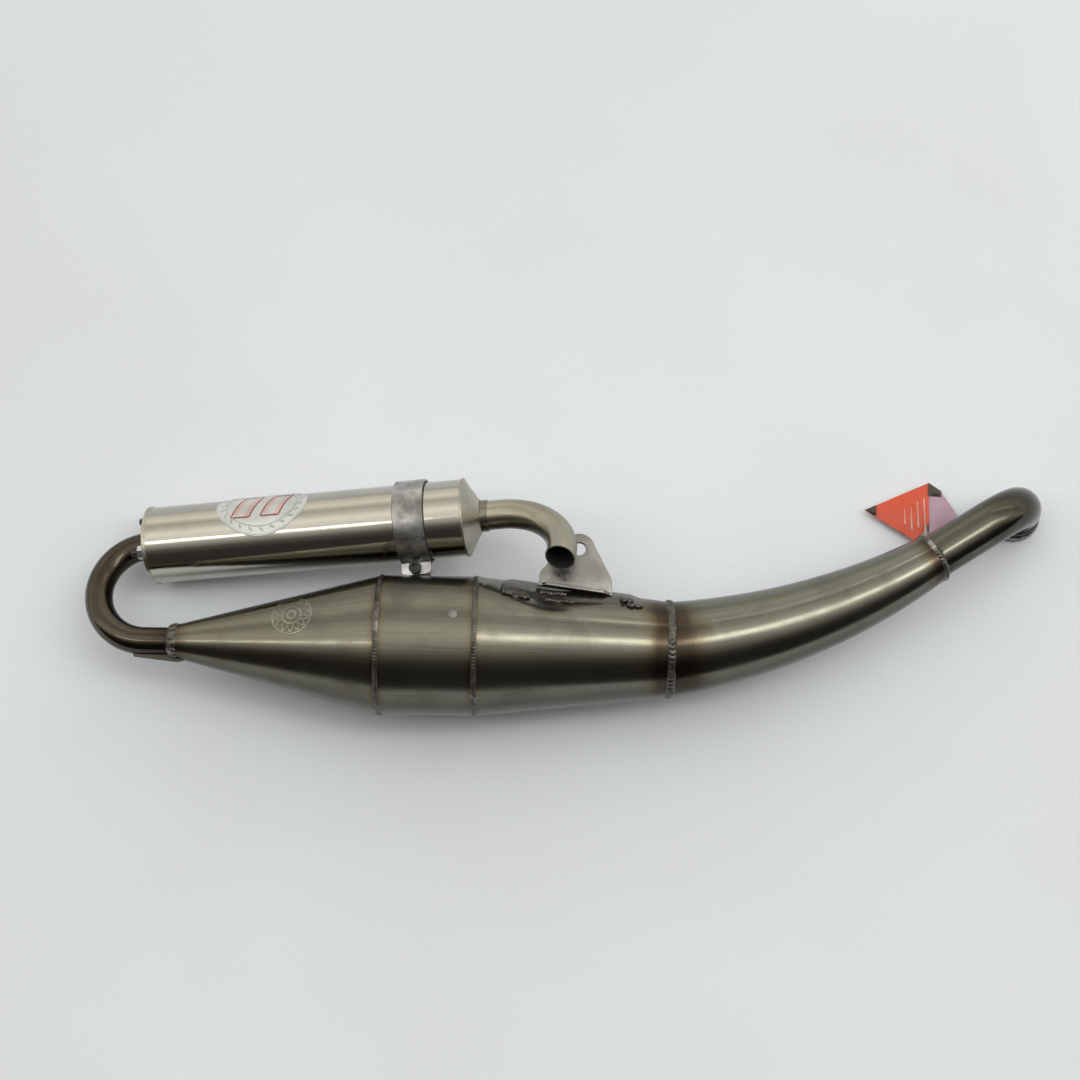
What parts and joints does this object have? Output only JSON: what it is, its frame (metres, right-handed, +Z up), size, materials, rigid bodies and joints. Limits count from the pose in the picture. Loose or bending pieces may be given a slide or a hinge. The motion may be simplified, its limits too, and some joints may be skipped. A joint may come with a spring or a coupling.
{
  "type": "two-stroke racing exhaust system",
  "caption": "Expansion chamber with a U-bend stinger, a mounting bracket and a polished silencer clamped beside its belly, ending in a bent tail pipe.",
  "frame": {"origin": "centre of the header flange's sealing face, on the axis of the inlet bore", "axes": "+X along the chamber's axis towards the header end, +Z up away from the surface that the system lies on, which is also out of the flange face towards the pipe"},
  "size_m": [0.7836, 0.213, 0.1223],
  "materials": {
    "chamber_steel": "bare sheet steel, heat and oil tinted olive brown, satin polished",
    "header_steel": "steel tube, tinted dark by heat",
    "stinger_steel": "steel tube, tinted bronze",
    "weld_metal": "raised weld bead, dark and uneven",
    "flange_steel": "laser cut plate, dull",
    "bracket_steel": "flat plate, satin",
    "band_steel": "rolled band, satin grey",
    "liner_rubber": "thin heat-proof strip",
    "black_bolt": "black oxide",
    "plated_steel": "zinc plated",
    "polished_stainless": "mirror polished stainless",
    "satin_stainless": "satin stainless with a light gold tint",
    "glass_wool": "pressed glass wool",
    "badge_plate": "printed oval plate",
    "tag_card": "coated card, orange front and lilac back",
    "tie_nylon": "black nylon"
  },
  "bodies": {
    "chamber": {"header_flange": "flange_steel", "header_leg": "header_steel", "header_elbow": "header_steel", "header_tube": "header_steel", "flange_weld": "weld_metal", "header_weld": "weld_metal", "curved_diffuser": "chamber_steel", "throat_weld": "weld_metal", "diffuser_cone": "chamber_steel", "cone_weld": "weld_metal", "belly": "chamber_steel", "belly_weld": "weld_metal", "baffle_cone": "chamber_steel", "collar_weld": "weld_metal", "stinger_pipe": "stinger_steel", "stinger_gusset": "bracket_steel", "inner_stinger": "stinger_steel", "bracket_plate": "bracket_steel", "bracket_doubler": "chamber_steel", "bracket_weld": "weld_metal", "belly_tab": "bracket_steel", "tab_weld": "weld_metal", "clamp_band": "band_steel", "clamp_liner": "liner_rubber", "clamp_bolt": "black_bolt", "clamp_nut": "plated_steel", "clamp_washers": "plated_steel", "hang_tag": "tag_card", "tag_tie": "tie_nylon"},
    "silencer": {"can_sleeve": "polished_stainless", "front_cap": "satin_stainless", "inlet_collar": "satin_stainless", "cap_studs": "plated_steel", "cap_nuts": "plated_steel", "cap_washers": "plated_steel", "core_tube": "satin_stainless", "packing": "glass_wool", "rear_cap": "satin_stainless", "tail_collar": "satin_stainless", "tail_pipe": "satin_stainless", "tail_bend": "satin_stainless", "badge": "badge_plate"}
  },
  "joints": [
    {"name": "silencer_swivel", "type": "hinge", "parent": "chamber", "child": "silencer", "pos_m": [-0.71209, -0.04543, 0.03171], "axis": [-0.9886, -0.0691, -0.134], "range_deg": [-4, 30]}
  ]
}
